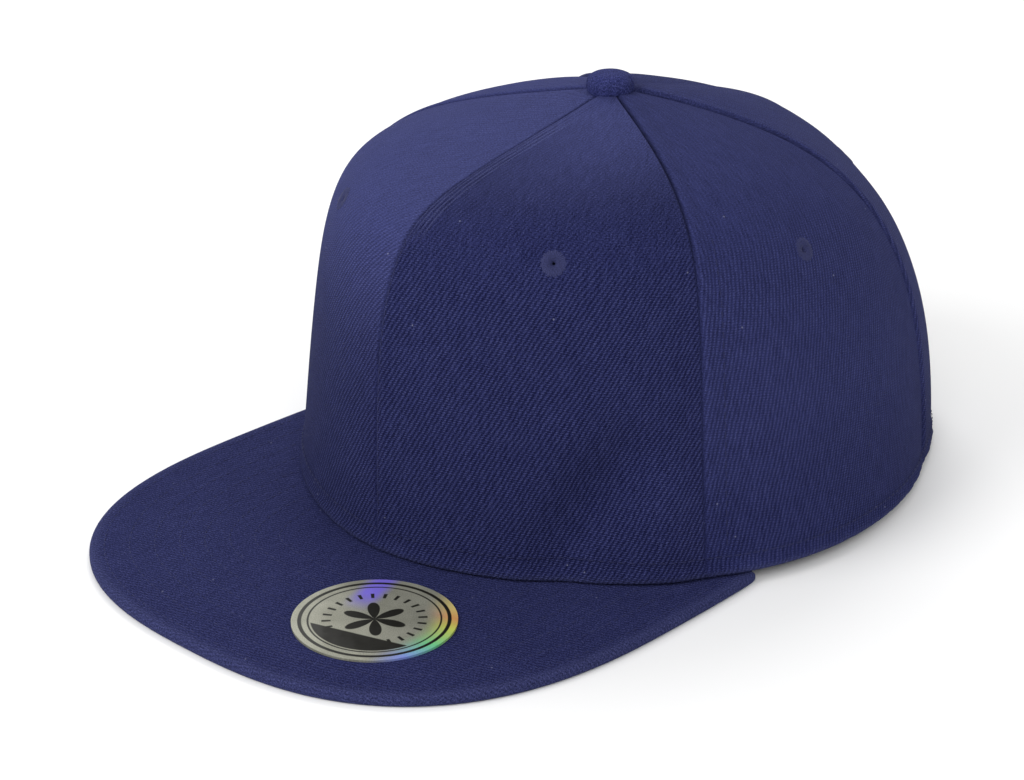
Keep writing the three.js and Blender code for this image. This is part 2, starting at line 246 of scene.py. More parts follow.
def shell(outer, inner):
    """A closed wall between two grids of points, as vertices and faces."""
    columns, rows = outer.shape[:2]
    count = columns * rows
    front = grid_faces(columns, rows)
    back = grid_faces(columns, rows, count)[:, ::-1]
    edge = [i * rows for i in range(columns)]
    edge += [(columns - 1) * rows + j for j in range(1, rows)]
    edge += [i * rows + rows - 1 for i in range(columns - 2, -1, -1)]
    edge += list(range(rows - 2, 0, -1))
    edge = np.array(edge)
    following = np.roll(edge, -1)
    rim = np.stack([following, edge, edge + count, following + count], -1)
    return np.concatenate([outer.reshape(-1, 3), inner.reshape(-1, 3)]), np.concatenate([front, back, rim])


def run_length(points, axis):
    """Distance along each line of points, starting at 0."""
    steps = np.linalg.norm(np.diff(points, axis=axis), axis=-1)
    start = np.zeros_like(np.take(steps, [0], axis=axis))
    return np.cumsum(np.concatenate([start, steps], axis=axis), axis=axis)


def spaced(total, fine, step, both=False):
    """Distances from 0 to total: the fine ones at the start, and also at the end if both, then even steps."""
    last = total - fine[-1] if both else total
    count = max(2, round((last - fine[-1]) / step))
    even = np.linspace(fine[-1], last, count + 1)[1:]
    end = total - np.array(fine[::-1])[1:] if both else []
    return np.concatenate([fine, even, end])


# Stitches


def stitch_rows(name, lines, material, pitch=2.9 * MM, length=2.3 * MM, radius=0.21 * MM, sunk=0.05 * MM):
    """Thread stitches along lines, each given as (places, ways outward), joined in one piece."""
    sides = 6
    rings = 5
    vertices, faces = [], []
    for places, normals in lines:
        run = run_length(places[None], 1)[0]
        count = int(run[-1] // pitch)
        middles = (run[-1] - count * pitch) / 2 + pitch * (np.arange(count) + 0.5)
        for middle in middles:
            at = middle + length * np.linspace(-0.5, 0.5, rings)
            centre = np.stack([np.interp(at, run, places[:, k]) for k in range(3)], -1)
            normal = np.array([np.interp(middle, run, normals[:, k]) for k in range(3)])
            normal /= np.linalg.norm(normal)
            ahead = centre[-1] - centre[0]
            ahead /= np.linalg.norm(ahead)
            across = np.cross(normal, ahead)
            bow = 1 - np.linspace(-1, 1, rings) ** 2
            centre += normal[None] * ((bow * radius * 1.1 - sunk)[:, None])
            thick = radius * (0.45 + 0.55 * bow**0.5)
            first = len(vertices)
            for ring in range(rings):
                for side in range(sides):
                    turn = 2 * math.pi * side / sides
                    way = math.cos(turn) * across + math.sin(turn) * normal
                    vertices.append(centre[ring] + thick[ring] * way)
            for ring in range(rings - 1):
                for side in range(sides):
                    a = first + ring * sides + side
                    b = first + ring * sides + (side + 1) % sides
                    faces.append((a, b, b + sides, a + sides))
            faces.append(tuple(range(first + sides - 1, first - 1, -1)))
            faces.append(tuple(range(first + (rings - 1) * sides, first + rings * sides)))
    return mesh_object(name, vertices, faces, material, sharp_deg=180)


# Materials


class Look:
    """The nodes of one material."""

    def __init__(self, name):
        self.material = bpy.data.materials.new(name)
        self.material.use_nodes = True
        self.tree = self.material.node_tree
        self.shader = self.tree.nodes["Principled BSDF"]

    def put(self, socket, value):
        if isinstance(value, bpy.types.NodeSocket):
            self.tree.links.new(value, socket)
        else:
            socket.default_value = value

    def node(self, kind, inputs, **settings):
        made = self.tree.nodes.new("ShaderNode" + kind)
        for key, value in settings.items():
            setattr(made, key, value)
        for key, value in inputs.items():
            self.put(made.inputs[key], value)
        return made

    def math(self, operation, *values):
        return self.node("Math", dict(enumerate(values)), operation=operation).outputs[0]

    def vector(self, operation, *values):
        return self.node("VectorMath", dict(enumerate(values)), operation=operation).outputs[0]

    def swing(self, value, gain, base):
        """Adds to the base how far the value is from one half, times the gain."""
        return self.math("MULTIPLY_ADD", self.math("SUBTRACT", value, 0.5), gain, base)

    def dot(self, vector, other):
        return self.node("VectorMath", {0: vector, 1: other}, operation="DOT_PRODUCT").outputs["Value"]

    def attribute(self, name, output="Vector"):
        return self.node("Attribute", {}, attribute_name=name).outputs[output]

    def noise(self, vector, scale, detail=2.0, output=0):
        return self.node("TexNoise", {"Vector": vector, "Scale": scale, "Detail": detail}).outputs[output]

    def ramp(self, value, low, high, to_low=0.0, to_high=1.0):
        inputs = {"Value": value, "From Min": low, "From Max": high, "To Min": to_low, "To Max": to_high}
        return self.node("MapRange", inputs, interpolation_type="SMOOTHSTEP").outputs[0]

    def mix(self, share, first, second):
        made = self.tree.nodes.new("ShaderNodeMix")
        made.data_type = "RGBA"
        for socket, value in ((made.inputs[0], share), (made.inputs[6], first), (made.inputs[7], second)):
            self.put(socket, value if isinstance(value, (bpy.types.NodeSocket, float)) else (*value, 1))
        return made.outputs[2]

    def bump(self, height):
        made = self.node("Bump", {"Height": height, "Distance": 1.0, "Strength": 1.0})
        self.put(self.shader.inputs["Normal"], made.outputs[0])

    def gloss(self, level):
        self.shader.inputs["Specular IOR Level"].default_value = level

    def set(self, **values):
        for key, value in values.items():
            self.put(self.shader.inputs[key.replace("_", " ").title()], value)


def waves_across(lean_deg, pitch):
    """The vector that counts waves across lines that lean this much from level."""
    lean = math.radians(lean_deg)
    return np.array([-math.sin(lean) / pitch, math.cos(lean) / pitch, 0])


def twill(name, rib_deg, pitch=RIB_PITCH, depth=0.16 * MM, contrast=1.0, tone=1.0):
    """Cotton twill on the cloth's own coordinates: leaning ribs of short floats and lint, with painted shade
    in the weave's hollows and painted highlight on its tops, rubbed pale places with painted highlight on
    crease crests and the brim's rim, painted light on the upper crown, and painted shade in the seams and
    along the foot.
    """
    look = Look(name)
    flat = look.attribute("cloth")
    moved = flat
    for scale, shift in RIB_WAVERING:
        sway = look.vector("SUBTRACT", look.noise(flat, scale, output=1), (0.5,) * 3)
        moved = look.vector("MULTIPLY_ADD", sway, (shift,) * 3, moved)
    ribs = waves_across(rib_deg, pitch)
    floats = waves_across(180 + WEFT_LEAN, WEFT_PITCH * pitch / RIB_PITCH) - ribs / 2
    rib = look.math("COSINE", look.dot(moved, tuple(ribs * math.pi)))
    bead = look.math("COSINE", look.dot(moved, tuple(floats * 2 * math.pi)))
    yarn = look.noise(flat, YARN_SCALE, 3.0)
    nap = look.attribute("nap", "Fac")
    height = look.math("MULTIPLY", rib, look.math("MULTIPLY_ADD", bead, BEADING, rib))
    height = look.swing(height, look.ramp(nap, 0, 1, 1.0, 0.3), 0.5)
    height = look.swing(yarn, look.ramp(nap, 0, 1, 2.2, 3.6), height)

    streaks = look.noise(look.vector("MULTIPLY", moved, STREAK_SCALES), 1.0)
    # Painted shade and highlight in the weave: darker in its hollows, lighter on its ribs and beads
    level = look.swing(height, 0.8 * contrast, 0.5)
    level = look.swing(look.noise(flat, PATCH_SCALE, 4.0), 0.22, level)
    level = look.swing(streaks, 0.7, level)
    colour = look.mix(level, NAVY_DEEP, tuple(1.4 * c for c in NAVY))
    # Rubbed pale places, partly painted highlight on crease crests and on the brim's rim
    worn_and_highlit = look.math("MULTIPLY", look.attribute("wear_and_highlight", "Fac"), look.ramp(yarn, 0.35, 0.65, 0.35, 1.0))
    fibres = look.ramp(look.noise(flat, FIBRE_SCALE, 1.0), 0.62, 0.78)
    # The weave's tops painted paler as highlight, then rubbed pale places and pale fibres
    for paler, share in ((look.ramp(level, 0.75, 1.5), 0.6), (worn_and_highlit, 0.5), (fibres, 0.35)):
        colour = look.mix(look.math("MULTIPLY", paler, share), colour, NAVY_PALE)
    specks = look.node("TexVoronoi", {"Vector": flat, "Scale": LINT_SCALE})
    near = look.ramp(specks.outputs["Distance"], 0.03, 0.075, 1.0, 0.0)
    chosen = look.ramp(look.dot(specks.outputs["Color"], (1.0, 0, 0)), 0.8, 0.84)
    colour = look.mix(look.math("MULTIPLY", look.math("MULTIPLY", near, chosen), 0.3), colour, LINT)
    # Painted light from above: the upper crown is mixed towards pale and made lighter
    rising_weight = look.attribute("rising_weight", "Fac")
    colour = look.mix(look.math("MULTIPLY", rising_weight, 0.2), colour, NAVY_PALE)
    painted_light_gain = look.ramp(rising_weight, 0.0, 1.0, 1.1 * tone, 1.65 * tone)
    # Painted shade: darker, down to half, in the seam grooves and along the foot where it meets the brim
    shade = look.math("MULTIPLY", painted_light_gain, look.ramp(look.attribute("crease", "Fac"), 0.0, 1.0, 1.0, 0.5))
    colour = look.node("VectorMath", {0: colour, "Scale": shade}, operation="SCALE").outputs[0]
    look.set(base_color=colour, roughness=0.9)
    look.set(sheen_weight=0.04, sheen_roughness=0.5, sheen_tint=(0.4, 0.45, 1, 1))
    look.gloss(0.05)
    look.bump(look.math("MULTIPLY", height, depth))
    return look.material


def thread(name, colour):
    """Sewing thread: a slight lustre, mottled along its twist."""
    look = Look(name)
    where = look.node("TexCoord", {}).outputs["Object"]
    twist = look.noise(where, 3500.0)
    mottled = look.mix(look.ramp(twist, 0.3, 0.7), tuple(0.6 * c for c in colour), colour)
    look.set(base_color=mottled, roughness=0.75, sheen_weight=0.05, sheen_tint=(0.7, 0.74, 1, 1))
    look.gloss(0.2)
    look.bump(look.math("MULTIPLY", twist, 0.06 * MM))
    return look.material


def plastic(name):
    """Moulded navy plastic with a fine satin grain."""
    look = Look(name)
    where = look.node("TexCoord", {}).outputs["Object"]
    grain = look.noise(where, 1800.0, 3.0)
    colour = look.mix(look.noise(where, 60.0), PLASTIC_DEEP, PLASTIC_NAVY)
    look.set(base_color=colour, roughness=look.ramp(grain, 0.3, 0.7, 0.34, 0.5))
    look.bump(look.math("MULTIPLY", grain, 0.03 * MM))
    return look.material


def foil(name):
    """Holographic film with a plain printed rosette: rings, ticks and a dark lower part, and a painted
    reflection of a purple streak and rainbow colours by the rim, fixed in place.
    """
    look = Look(name)
    disc = look.attribute("disc")
    radius = look.node("VectorMath", {0: disc}, operation="LENGTH").outputs["Value"]
    split = look.node("SeparateXYZ", {0: disc})
    x, y = split.outputs[:2]
    turn = look.math("ARCTAN2", y, x)

    def ring(middle, half):
        away = look.math("ABSOLUTE", look.math("SUBTRACT", radius, middle))
        return look.ramp(away, half, half + 0.012, 1.0, 0.0)

    petals = look.math("ABSOLUTE", look.math("COSINE", look.math("MULTIPLY", turn, 3.0)))
    rosette = look.ramp(look.math("SUBTRACT", look.math("MULTIPLY", petals, 0.42), radius), 0.0, 0.02)
    ticks = look.ramp(look.math("COSINE", look.math("MULTIPLY", turn, 24.0)), 0.55, 0.75)
    band = look.math("MULTIPLY", ticks, ring(0.58, 0.05))
    dark = look.math("MAXIMUM", look.math("MAXIMUM", ring(0.9, 0.018), ring(0.8, 0.006)), rosette)
    below = look.ramp(y, -0.42, -0.4, 1.0, 0.0)
    lower = look.math("MULTIPLY", below, look.ramp(radius, 0.76, 0.775, 1.0, 0.0))
    dark = look.math("MAXIMUM", look.math("MAXIMUM", dark, band), lower)

    grit = look.noise(disc, 70.0, 2.0)
    flow = look.swing(grit, 1.2, look.noise(disc, 1.6, 3.0))
    silver = look.mix(flow, SILVER_DEEP, SILVER)
    # Painted reflection: a purple streak in the upper part, left of the middle
    beside = look.math("ABSOLUTE", look.math("ADD", x, 0.35))
    painted_violet_reflection = look.math("MULTIPLY", look.ramp(beside, 0.05, 0.24, 1.0, 0.0), look.ramp(y, 0.05, 0.6))
    silver = look.mix(look.math("MULTIPLY", painted_violet_reflection, 0.85), silver, VIOLET)
    # Painted reflection: rainbow colours towards the rim on one side
    rim = look.math("MULTIPLY", look.ramp(radius, 0.55, 0.95), look.ramp(x, 0.35, 0.8))
    painted_rim_hues = look.node("ValToRGB", {"Fac": look.math("MULTIPLY_ADD", y, 0.6, 0.5)})
    stops = painted_rim_hues.color_ramp.elements
    stops[0].position = 0.1
    stops[0].color = (0.2, 0.3, 0.9, 1)
    stops[1].position = 0.9
    stops[1].color = (0.95, 0.75, 0.2, 1)
    for spot, colour in ((0.35, (0.15, 0.8, 0.3, 1)), (0.6, (0.8, 0.9, 0.1, 1)), (0.75, (0.95, 0.4, 0.1, 1))):
        stops.new(spot).color = colour
    silver = look.mix(look.math("MULTIPLY", rim, 0.75), silver, painted_rim_hues.outputs["Color"])
    look.set(base_color=look.mix(dark, silver, PRINT_DARK), metallic=look.ramp(dark, 0, 1, 0.4, 0.0))
    look.set(roughness=0.4, coat_weight=0.03)
    look.gloss(0.15)
    look.bump(look.math("MULTIPLY", look.noise(disc, 3.0), 0.25 * MM))
    return look.material


def plain_floor(name):
    look = Look(name)
    look.set(base_color=FLOOR_GREY, roughness=0.9)
    return look.material


# Each part's tone sets its lightness: the button's high tone is painted light on its top, and the side
# panels' and brim's tones partly stand in for how lit they are
FRONT_TWILL = twill("front_twill", 60)
SIDE_TWILL = twill("side_twill", 69, contrast=0.75, tone=1.12)
BACK_TWILL = twill("back_twill", 64)
BRIM_TWILL = twill("brim_twill", 20, depth=0.06 * MM, contrast=1.5, tone=0.96)
BUTTON_TWILL = twill("button_twill", 40, depth=0.1 * MM, tone=1.45)
BAND_TWILL = twill("band_twill", 90, pitch=0.7 * MM, depth=0.05 * MM)
THREAD = thread("navy_thread", THREAD_NAVY)
EYELET_THREAD = thread("eyelet_thread", EYELET_NAVY)
BRIM_THREAD = thread("brim_thread", BRIM_THREAD_NAVY)
PLASTIC = plastic("navy_plastic")
FOIL = foil("holographic_foil")

# Crown panels

# Distances of the fine edges from a seam and from the foot, and the step of the rest
SEAM_FINE = MM * np.array([0, 0.12, 0.3, 0.55, 0.9, 1.4, 2, 2.8, 3.8, 4.8, 5.4, 5.8, 6.2, 6.7, 7.4, 8.4])
FOOT_FINE = MM * np.array([0, 0.15, 0.4, 0.75, 1.2, 1.8, 2.5, 3.3, 4.2])
CLOTH_STEP = 1.3 * MM
TIP_RADIUS = 1.5 * MM

# From the front seam to the rear one: depth of its groove, in mm, at the foot and at the top, and its ridge
GROOVES = ((0.3, 0.75), (0.35, 0.95), (0.5, 0.75), (0.5, 0.8))
RIDGES = (0.42, 0.4, 0.85, 0.4)

# Fine creases over the allowance of the upper front seam
CREASE_START = 1.2 * MM
CREASE_PITCH = 1.35 * MM
CREASE_HEIGHT = 0.26 * MM
CREASE_FINE = np.concatenate([np.arange(0.9, 6, 0.22), np.arange(6.2, 13, 0.4)]) * MM

# How much painted light from above makes each panel paler towards its top, and the heights between which it
# comes in
PAINTED_LIGHT_BY_PANEL = {
    "panel_front_left": (0.95, 97 * MM, 114 * MM),
    "panel_front_right": (1.0, 38 * MM, 106 * MM),
    "panel_side_left": (0.3, 10 * MM, 50 * MM),
    "panel_side_right": (0.7, 20 * MM, 100 * MM),
    "panel_back_left": (0.5, 0, 40 * MM),
    "panel_back_right": (0.4, 20 * MM, 100 * MM),
}
NAP_HEIGHTS = (72 * MM, 106 * MM)  # between them the ribs give way to nap

EYELET_HOLE = 1.5 * MM
ARCH_CUT = (50 * MM, 200 * MM)  # how far behind the crown's axis the cut begins and ends

# Distance of the topstitching from each seam and the rear opening, and how far up its foot row runs
FRONT_STITCH_IN = 1.3 * MM
SIDE_STITCH_IN = 6 * MM
ARCH_STITCH_IN = 4.5 * MM
FOOT_ROW_T = 0.021


def ripple(at, t):
    """Slow unevenness of the cloth, which dies out at the foot and the top."""
    waves = (
        np.sin(np.radians(at) * 5 + 7 * t + 0.6) * 0.5
        + np.sin(np.radians(at) * 9 - 11 * t + 2.1) * 0.3
        + np.sin(np.radians(at) * 14 + 17 * t + 4.0) * 0.2
    )
    return 0.4 * MM * waves * np.sin(np.pi * np.clip(t * 1.05, 0, 1))


def seam_lift(away, groove, ridge, rising_weight):
    """Height of the cloth at this distance from a seam: a groove, and a ridge over the folded allowance."""
    lift = -groove * MM * bell(away, 0, 0.4 * MM)
    lift += ridge * MM * soft_step(away, 0, 1.4 * MM) * (1 - soft_step(away, 2.4 * MM, 5.4 * MM))
    return lift * rising_weight


def pressed_creases(away, up, t):
    """How far each place is on the fine creases that run over the allowance of the upper front seam."""
    wavering = away + 0.12 * MM * np.sin(up / (6 * MM))
    crest = 0.5 + 0.5 * np.cos(2 * math.pi * (wavering - CREASE_START) / CREASE_PITCH)
    within = soft_step(away, 0.6 * MM, 1.1 * MM) * (1 - soft_step(away, 5.4 * MM, 6.4 * MM))
    return crest * within * soft_step(t, 0.42, 0.56) * (1 - soft_step(t, 0.86, 0.97))


def crown_panel(row, hand):
    """One cloth panel of the crown: fine outside, its wall and its inside."""
    side = 1 if hand == "left" else -1
    name = f"panel_{row['name']}_{hand}"
    ends = sorted((side * row["first"], side * row["last"]))
    middle = sum(ends) / 2
    guide_t = np.linspace(0, 1, 600)
    guide, _ = crown(middle, guide_t)
    run = run_length(guide[None], 1)[0]
    radius = np.hypot(guide[:, 0], guide[:, 1] - AXIS_Y)
    upper = guide_t > 0.5
    tip = np.interp(-TIP_RADIUS, -radius[upper], run[upper])
    t = np.interp(spaced(tip, FOOT_FINE, CLOTH_STEP), run, guide_t)

    level, _ = crown(np.linspace(*ends, 200), 0.3)
    width = run_length(level[None], 1)[0, -1]
    share = spaced(width, SEAM_FINE, CLOTH_STEP, both=True) / width
    creased = name == "panel_front_left"
    if creased:
        share = np.union1d(share, CREASE_FINE / width)
    at = ends[0] + (ends[1] - ends[0]) * share
    at_grid, t_grid = np.meshgrid(at, t, indexing="ij")
    base, normal = crown(at_grid, t_grid)
    up = run_length(base, 1)
    across = run_length(base, 0)
    local_width = across[-1]
    edges = (across, local_width - across)
    from_front, from_rear = edges if side > 0 else edges[::-1]
    rising_weight = soft_step(local_width, 3 * MM, 10 * MM)[None] * soft_step(up, 1.5 * MM, 8 * MM)
    seam = PANELS.index(row)
    on_left = side > 0
    front_groove, rear_groove = (np.interp(t, (0.35, 0.8), GROOVES[k])[None] for k in (seam, seam + 1))
    lift = seam_lift(from_front, front_groove, RIDGES[seam] * (seam > 0 or on_left), rising_weight)
    lift += seam_lift(from_rear, rear_groove, RIDGES[-1] * (seam == 2 and on_left), rising_weight)
    creases = pressed_creases(from_front, up, t[None]) * creased
    lift += CREASE_HEIGHT * creases
    lumps = np.sin(across / (0.83 * MM)) * np.sin(across / (3.1 * MM) + 1)
    lumps += 0.6 * np.sin(across / (1.7 * MM) + 2)
    lift += (0.6 + 0.14 * lumps) * MM * bell(up, 1.6 * MM, 1.5 * MM)
    lift -= 0.8 * MM * np.clip(1 - up / (0.7 * MM), 0, 1) ** 2
    lift += ripple(at_grid, t_grid)
    outer = base + normal * lift[..., None]
    inner = base - normal * WALL
    vertices, faces = shell(outer, inner)
    across, up = run_length(outer, 0), run_length(outer, 1)
    flat = np.stack([across - across[-1] / 2, up, np.zeros_like(up)], -1).reshape(-1, 3)
    # Paler along the rolled foot and beside the seams; the crests of the pressed creases painted paler as
    # highlight
    worn_and_highlit = 0.7 * bell(up, 1.3 * MM, 0.9 * MM) + 0.06 * bell(np.minimum(*edges), 1.1 * MM, 0.6 * MM) * rising_weight
    worn_and_highlit += 1.4 * creases**1.5
    in_seam = bell(np.minimum(*edges), 0, 0.6 * MM)
    depth_share = (0.3 + 0.5 * soft_step(t, 0.3, 0.75))[None]
    # Painted light from above: each panel paler towards its top, by its own amount
    most, begins, ends_at = PAINTED_LIGHT_BY_PANEL[name]
    painted_top_light = most * soft_step(base[..., 2], begins, ends_at)
    napped = np.maximum(soft_step(base[..., 2], *NAP_HEIGHTS), in_seam)
    # Painted shade in the seam grooves, more higher up, and a painted shadow along the foot where it meets
    # the brim
    shaded = np.maximum(in_seam * rising_weight * depth_share, 0.8 * bell(up, 0, 0.5 * MM))
    attributes = {
        "cloth": np.concatenate([flat, flat]),
        "wear_and_highlight": np.concatenate([worn_and_highlit.ravel(), 0 * worn_and_highlit.ravel()]),
        "rising_weight": np.concatenate([painted_top_light.ravel(), 0 * painted_top_light.ravel()]),
        "nap": np.tile(napped.ravel(), 2),
        "crease": np.tile(shaded.ravel(), 2),
    }
    material = {"front": FRONT_TWILL, "side": SIDE_TWILL, "back": BACK_TWILL}[row["name"]]
    piece = mesh_object(f"cloth_{row['name']}_{hand}", vertices, faces, material, attributes)
    cut_openings(piece, row, hand)
    place_piece(piece, "cloth", name)
    return piece


def stand_on(at, t):
    """The frame of a place on the crown, with its Z outward and its Y up the crown."""
    step = 0.01
    across = crown(at + step, t)[0] - crown(at - step, t)[0]
    up = crown(at, t + step)[0] - crown(at, t - step)[0]
    outward = Vector(np.cross(across, up)).normalized()
    upward = Vector(up).normalized()
    made = Matrix((upward.cross(outward), upward, outward)).transposed().to_4x4()
    made.translation = Vector(crown(at, t)[0]) + outward * float(ripple(at, t))
    return made


def eyelet_place(row, hand):
    side = 1 if hand == "left" else -1
    return stand_on(side * (row["first"] + (row["last"] - row["first"]) * row[hand]), row["up"])


def cut_openings(piece, row, hand):
    """Cuts the eyelet's hole, and the rear arch through a back panel."""
    cutter = bmesh.new()
    bmesh.ops.create_cone(
        cutter, cap_ends=True, segments=24, radius1=EYELET_HOLE, radius2=EYELET_HOLE, depth=12 * MM,
        matrix=eyelet_place(row, hand),
    )
    if row["name"] == "back":
        turns = np.linspace(0, math.pi, 65)
        outline = [(ARCH_WIDTH / 2, -5 * MM)]
        outline += [
            (ARCH_WIDTH / 2 * math.cos(a), ARCH_HEIGHT - ARCH_ROUND + ARCH_ROUND * math.sin(a)) for a in turns
        ]
        outline += [(-ARCH_WIDTH / 2, -5 * MM)]
        ends = [[cutter.verts.new((x, AXIS_Y + y, z)) for x, z in outline] for y in ARCH_CUT]
        cutter.faces.new(ends[0])
        cutter.faces.new(ends[1][::-1])
        for k in range(len(outline)):
            following = (k + 1) % len(outline)
            cutter.faces.new((ends[0][following], ends[0][k], ends[1][k], ends[1][following]))
        bmesh.ops.recalc_face_normals(cutter, faces=cutter.faces)
    mesh = bpy.data.meshes.new("cutter")
    cutter.to_mesh(mesh)
    cutter.free()
    tool = bpy.data.objects.new("cutter", mesh)
    bpy.context.scene.collection.objects.link(tool)
    modifier = piece.modifiers.new("openings", "BOOLEAN")
    modifier.operation = "DIFFERENCE"
    modifier.solver = "EXACT"
    modifier.object = tool
    depsgraph = bpy.context.evaluated_depsgraph_get()
    cut = bpy.data.meshes.new_from_object(piece.evaluated_get(depsgraph))
    piece.modifiers.clear()
    piece.data = cut
    bpy.data.objects.remove(tool)


def arch_line(away):
    """The line on the crown that runs this far outside the rear opening."""
    turns = np.linspace(0, math.pi, 200)
    high = np.linspace(0.2 * ARCH_HEIGHT, ARCH_HEIGHT - ARCH_ROUND, 20, endpoint=False)
    x = np.concatenate([0 * high + 1, np.cos(turns), 0 * high - 1]) * (ARCH_WIDTH / 2 + away)
    z = np.concatenate([high, ARCH_HEIGHT - ARCH_ROUND + (ARCH_ROUND + away) * np.sin(turns), high[::-1]])
    at, t = np.meshgrid(np.linspace(130, 230, 900), np.linspace(0, 0.6, 400), indexing="ij")
    places, normals = crown(at, t)
    picked = [
        np.unravel_index(np.argmin(np.hypot(places[..., 0] - a, places[..., 2] - b)), at.shape)
        for a, b in zip(x, z)
    ]
    on_line = np.array([places[k] + normals[k] * (ripple(at[k], t[k]) - 0.1 * MM) for k in picked])
    return on_line, np.array([normals[k] for k in picked])


def crown_stitches():
    """Topstitching beside the front seam and the seams between front and side panels, round the rear opening,
    and the row that holds the band along the foot.
    """
    lines = []
    t = np.linspace(0.03, 0.55, 160)
    for side in (1, -1):
        for seam, beside in ((0, FRONT_STITCH_IN), (1, SIDE_STITCH_IN)):
            if seam == 0 and side < 0:
                continue
            radius = np.hypot(*(crown(side * SEAMS[seam], t)[0][:, :2] - (0, AXIS_Y)).T)
            at = side * (SEAMS[seam] + np.degrees(beside / radius))
            places, normals = crown(at, t)
            lift = ripple(at, t) + RIDGES[seam] * (0.9 if seam == 0 else 0.05) * MM
            lines.append((places + normals * lift[:, None], normals))
    end = rear_angle(ARCH_WIDTH / 2 + 2 * MM)
    at = np.linspace(-end, end, 900)
    places, normals = crown(at, FOOT_ROW_T)
    lines.append((places + normals * (0.3 * MM + ripple(at, FOOT_ROW_T))[:, None], normals))
    lines.append(arch_line(ARCH_STITCH_IN))
    stitches = stitch_rows(
        "crown_topstitching", lines, THREAD, pitch=2.7 * MM, length=2.0 * MM, radius=0.15 * MM
    )
    return place_piece(stitches, "thread")


# Radius and height, in mm, of an eyelet's rings, from its hole outward
EYELET_RINGS = (
    (0.4, -2.0), (0.4, -0.85), (0.75, -0.55), (1.05, -0.1), (1.4, 0.12),
    (1.9, 0.18), (2.6, 0.16), (3.2, 0.05), (3.55, -0.35),
)


def eyelet(row, hand):
    """An embroidered eyelet: radial satin stitches round a hole."""
    stitches = 34
    per_stitch = 6
    columns = stitches * per_stitch
    turn = 2 * math.pi * np.arange(columns) / columns
    ridge = np.abs(np.cos(turn * stitches / 2)) ** 0.7
    ragged = 0.14 * MM * np.sin(turn * 13 + 0.5) + 0.1 * MM * np.sin(turn * 29)
    points = []
    for k, (radius, height) in enumerate(EYELET_RINGS):
        outwardness = k / (len(EYELET_RINGS) - 1)
        r = radius * MM + ragged * soft_step(outwardness, 0.6, 1) * 1.2
        h = height * MM + 0.16 * MM * (ridge - 1) * (height > -0.1)
        points.append(np.stack([r * np.cos(turn), r * np.sin(turn), h + 0 * turn], -1))
    grid = np.stack(points, 1)[:, ::-1]
    faces = grid_faces(columns, len(EYELET_RINGS), closed=True)
    name = f"stitched_eyelet_{row['name']}_{hand}"
    piece = mesh_object(name, grid.reshape(-1, 3), faces, EYELET_THREAD, sharp_deg=180)
    piece.data.transform(eyelet_place(row, hand))
    return place_piece(piece, "thread", f"eyelet_{row['name']}_{hand}")


def button():
    """The cloth-covered button: a flattened dome with soft pleats gathered under its rim."""
    columns = 120
    rows = 40
    radius = (BUTTON_HIGH.y - BUTTON_LOW.y) / 2
    top = BUTTON_HIGH.z
    turn = 2 * math.pi * np.arange(columns) / columns
    at = np.degrees(turn) - 180
    share = np.linspace(0, 1, rows)
    angle, s = np.meshgrid(turn, share, indexing="ij")
    at_grid = np.degrees(angle) - 180
    _, _, out_x, out_y = section(at_grid)
    r = radius * np.sin(s * math.pi / 2) ** 0.85
    under = crown_height_at(at, radius)[:, None] - 0.3 * MM
    dome = np.clip(1 - (r / radius) ** 3.4, 0, 1) ** (1 / 2.6)
    z = under + (top - under) * (0.28 + 0.72 * dome)
    pleat = soft_step(s, 0.5, 1)
    folds = 0.6 * np.sin(7 * angle + 0.7) + 0.4 * np.sin(12 * angle + 2) + 0.3 * np.sin(19 * angle + 5)
    r = r * (1 + 0.045 * folds * pleat)
    z = z + 0.25 * MM * folds * bell(s, 0.8, 0.18) - 0.2 * MM * bell(s, 0, 0.5)
    dome_grid = np.stack([out_x * r, AXIS_Y + out_y * r, z], -1)
    edge_x, edge_y = out_x[:, -1] * r[:, -1], out_y[:, -1] * r[:, -1]
    skirt = []
    for drop, shrink in ((0.35, 1.015), (0.7, 1.005), (1, 0.95)):
        level = under[:, 0] + (z[:, -1] - under[:, 0]) * (1 - drop)
        skirt.append(np.stack([edge_x * shrink, AXIS_Y + edge_y * shrink, level], -1))
    grid = np.concatenate([dome_grid, np.stack(skirt, 1)], 1)[:, ::-1]
    faces = grid_faces(columns, grid.shape[1], closed=True)
    vertices = grid.reshape(-1, 3)
    reached = run_length(grid[:, ::-1], 1)[:, ::-1]
    flat = np.stack([out_x[:, :1] * reached, out_y[:, :1] * reached, 0 * reached], -1).reshape(-1, 3)
    worn_and_highlit = np.concatenate([0.2 * bell(s, 0.8, 0.15), np.zeros((columns, 3))], 1)[:, ::-1]
    attributes = {"cloth": flat, "wear_and_highlight": worn_and_highlit.ravel(), "nap": np.ones(len(vertices))}
    piece = mesh_object("covered_button", vertices, faces, BUTTON_TWILL, attributes, sharp_deg=180)
    return place_piece(piece, "cloth", "top_button")


def crown_height_at(at, radius):
    """Height of the cloth this far from the axis, near the top."""
    t = np.linspace(0.6, 1, 200)
    heights = []
    for angle in at:
        places, _ = crown(angle, t)
        reach = np.hypot(places[:, 0], places[:, 1] - AXIS_Y)
        heights.append(np.interp(-radius, -reach, places[:, 2]))
    return np.array(heights)


# Brim

BRIM_LENGTH = 68 * MM
BRIM_WIDEST = 23.5 * MM
BRIM_TUCK = 4 * MM
BRIM_ROUNDING = 1.3 * MM
BRIM_FRONT_POWER = 2.6
BRIM_SIDE_POWER = 1.9
ROW_STEP = 6.8 * MM
ROW_COUNT = 8


